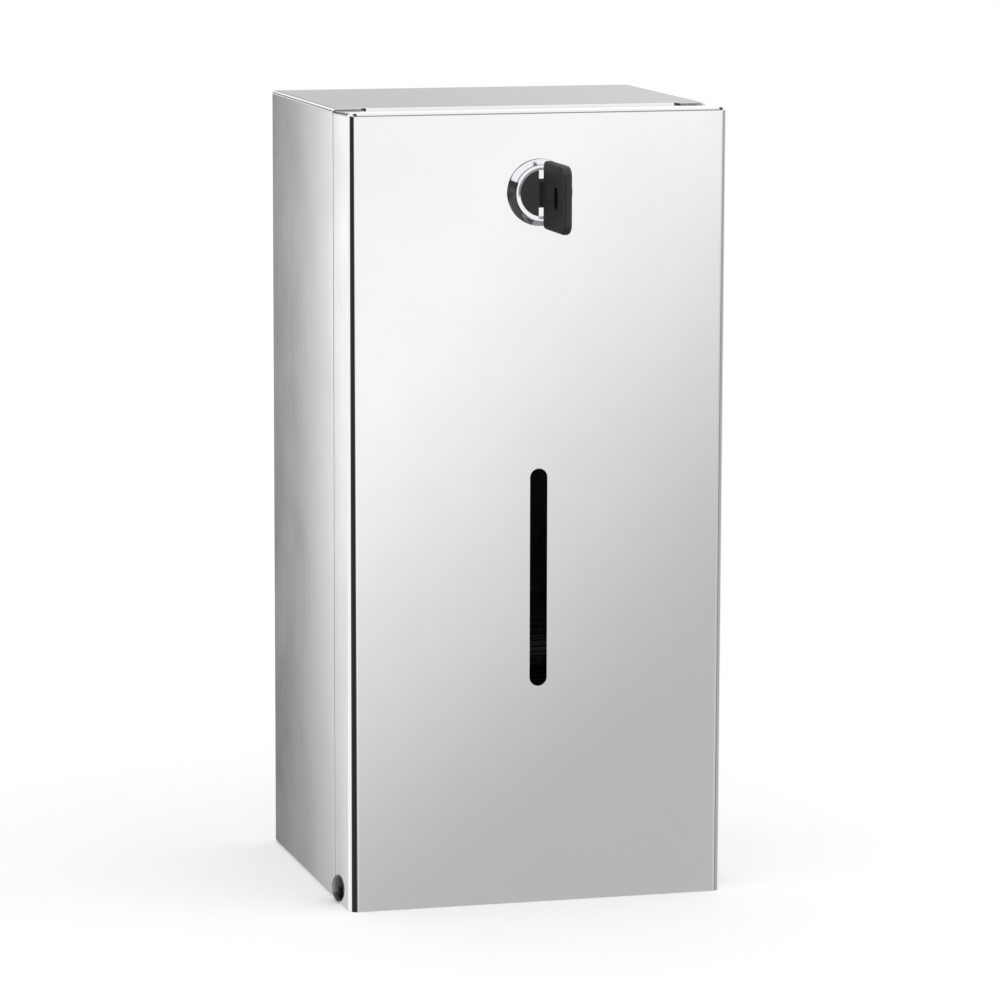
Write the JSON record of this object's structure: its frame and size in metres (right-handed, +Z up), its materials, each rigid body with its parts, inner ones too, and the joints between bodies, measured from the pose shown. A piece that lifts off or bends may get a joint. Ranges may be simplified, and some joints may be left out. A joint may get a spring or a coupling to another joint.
{
  "type": "double roll toilet paper dispenser",
  "caption": "Wall-mounted upright steel dispenser for stacked toilet rolls: folded cabinet, drop-front door with viewing slot, cam lock with key, roller spindles in slotted cheeks.",
  "frame": {"origin": "middle of the cabinet's back, on the wall plane, at the centre of the wall-screw pattern", "axes": "+X to the right seen from the front, +Y into the wall, +Z up; the door faces -Y"},
  "size_m": [0.1452, 0.161, 0.29],
  "materials": {
    "polished_steel": "mirror-polished stainless steel sheet",
    "satin_steel": "satin stainless steel sheet",
    "zinc_plated_steel": "bright zinc plate",
    "chrome_plate": "bright chrome plate",
    "black_enamel": "black enamel on steel",
    "axle_steel": "ground steel",
    "brass_wafer": "stamped brass",
    "nickel_blade": "nickel plate",
    "black_plastic": "black moulded plastic",
    "roller_plastic": "black moulded plastic, fine grain",
    "bush_plastic": "black moulded plastic",
    "washer_nylon": "natural nylon"
  },
  "bodies": {
    "cabinet": {"cabinet_shell": "polished_steel", "roll_carrier": "satin_steel", "carrier_studs": "zinc_plated_steel", "carrier_nuts": "zinc_plated_steel", "hinge_rivets": "black_enamel", "hinge_washers": "washer_nylon", "lower_axle": "axle_steel", "lower_axle_caps": "bush_plastic"},
    "door": {"door_panel": "polished_steel", "lock_housing": "chrome_plate", "lock_washer": "zinc_plated_steel", "lock_nut": "zinc_plated_steel"},
    "lock_core": {"lock_plug": "chrome_plate", "plug_face": "black_plastic", "lock_wafers": "brass_wafer", "lock_tongue": "zinc_plated_steel", "tongue_washer": "zinc_plated_steel", "tongue_screw": "zinc_plated_steel"},
    "key": {"key_blade": "nickel_blade", "key_bow": "black_plastic"},
    "lower_roller": {"lower_roller_tube": "roller_plastic", "lower_roller_bushes": "bush_plastic"},
    "upper_spindle": {"upper_axle": "axle_steel", "upper_axle_caps": "bush_plastic"},
    "upper_roller": {"upper_roller_tube": "roller_plastic", "upper_roller_bushes": "bush_plastic"}
  },
  "joints": [
    {"name": "door_hinge", "type": "hinge", "parent": "cabinet", "child": "door", "pos_m": [0, -0.1055, -0.14], "axis": [1, 0, 0], "range_deg": [0, 90]},
    {"name": "lock_turn", "type": "hinge", "parent": "door", "child": "lock_core", "pos_m": [0, -0.124, 0.1157], "axis": [0, 1, 0], "range_deg": [0, 90]},
    {"name": "key_pull", "type": "slide", "parent": "lock_core", "child": "key", "axis": [0, -1, 0], "range_m": [0, 0.025]},
    {"name": "lower_roller_spin", "type": "hinge", "parent": "cabinet", "child": "lower_roller", "pos_m": [0, -0.062, -0.083], "axis": [1, 0, 0], "continuous": true},
    {"name": "upper_spindle_lift", "type": "slide", "parent": "cabinet", "child": "upper_spindle", "axis": [0, 0, 1], "range_m": [0, 0.0877]},
    {"name": "upper_roller_spin", "type": "hinge", "parent": "upper_spindle", "child": "upper_roller", "pos_m": [0, -0.062, -0.0547], "axis": [1, 0, 0], "continuous": true}
  ]
}
